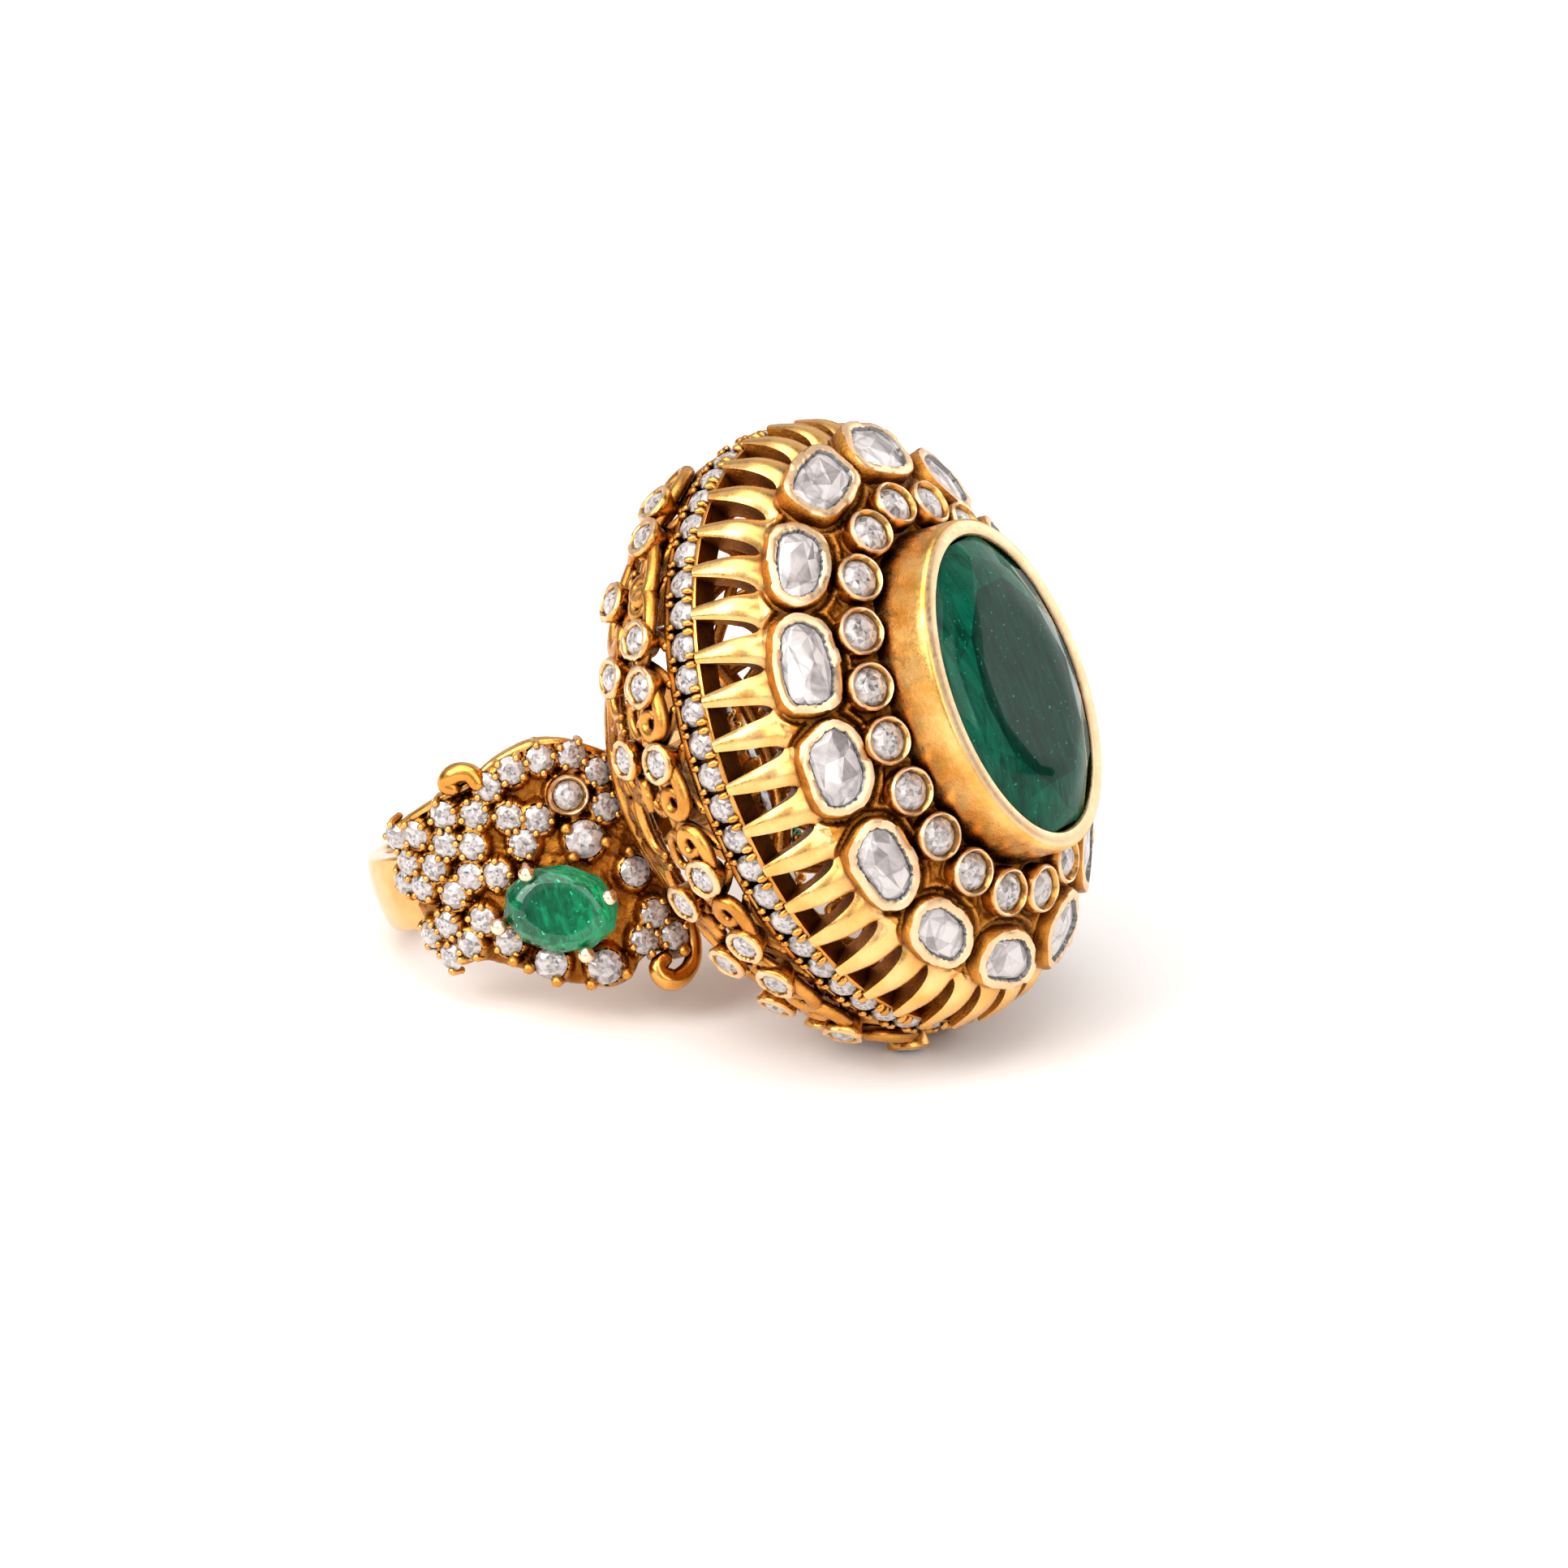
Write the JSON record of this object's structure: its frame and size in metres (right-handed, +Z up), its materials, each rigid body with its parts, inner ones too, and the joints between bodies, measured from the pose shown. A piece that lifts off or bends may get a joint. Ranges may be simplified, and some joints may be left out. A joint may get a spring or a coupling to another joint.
{
  "type": "cocktail ring",
  "caption": "Domed oval cocktail ring with a bezel-set emerald, rings of diamond cups, a fluted skirt, an openwork basket and pave shoulders.",
  "frame": {"origin": "centre of the finger hole, on its axis", "axes": "+Z up as the ring lies on a table, +X level and towards the side the head leans to, -Y the near shoulder; the finger hole runs along (-0.434, 0, 0.901)"},
  "size_m": [0.0417, 0.0258, 0.0314],
  "materials": {
    "band_gold": "polished",
    "yellow_gold": "polished with darkened recesses",
    "cup_gold": "burnished",
    "rose_gold": "polished",
    "emerald": "faceted",
    "brilliant_diamond": "faceted",
    "polki_diamond": "flat uncut faces",
    "silver_foil": "crumpled foil"
  },
  "bodies": {
    "root": {"base_rail": "yellow_gold", "centre_emerald": "emerald", "emerald_bearing": "cup_gold", "emerald_collet": "cup_gold", "far_accent_cup": "cup_gold", "far_accent_diamond": "brilliant_diamond", "far_emerald_claws": "rose_gold", "far_pave_diamonds": "brilliant_diamond", "far_prong_diamonds": "brilliant_diamond", "far_shoulder_plate": "yellow_gold", "far_shoulder_scrolls": "yellow_gold", "far_side_emerald": "emerald", "fluted_dome": "yellow_gold", "gallery_basket": "yellow_gold", "gallery_cups": "cup_gold", "gallery_diamonds": "brilliant_diamond", "girdle_diamonds": "brilliant_diamond", "girdle_rail": "yellow_gold", "near_accent_cup": "cup_gold", "near_accent_diamond": "brilliant_diamond", "near_emerald_claws": "rose_gold", "near_pave_diamonds": "brilliant_diamond", "near_prong_diamonds": "brilliant_diamond", "near_shoulder_plate": "yellow_gold", "near_shoulder_scrolls": "yellow_gold", "near_side_emerald": "emerald", "polki_cup_01": "cup_gold", "polki_cup_02": "cup_gold", "polki_cup_03": "cup_gold", "polki_cup_04": "cup_gold", "polki_cup_05": "cup_gold", "polki_cup_06": "cup_gold", "polki_cup_07": "cup_gold", "polki_cup_08": "cup_gold", "polki_cup_09": "cup_gold", "polki_cup_10": "cup_gold", "polki_cup_11": "cup_gold", "polki_cup_12": "cup_gold", "polki_cup_13": "cup_gold", "polki_cup_14": "cup_gold", "polki_diamond_01": "polki_diamond", "polki_diamond_02": "polki_diamond", "polki_diamond_03": "polki_diamond", "polki_diamond_04": "polki_diamond", "polki_diamond_05": "polki_diamond", "polki_diamond_06": "polki_diamond", "polki_diamond_07": "polki_diamond", "polki_diamond_08": "polki_diamond", "polki_diamond_09": "polki_diamond", "polki_diamond_10": "polki_diamond", "polki_diamond_11": "polki_diamond", "polki_diamond_12": "polki_diamond", "polki_diamond_13": "polki_diamond", "polki_diamond_14": "polki_diamond", "polki_foils": "silver_foil", "round_cups": "cup_gold", "round_diamonds": "brilliant_diamond", "shank_band": "band_gold"}
  },
  "joints": []
}
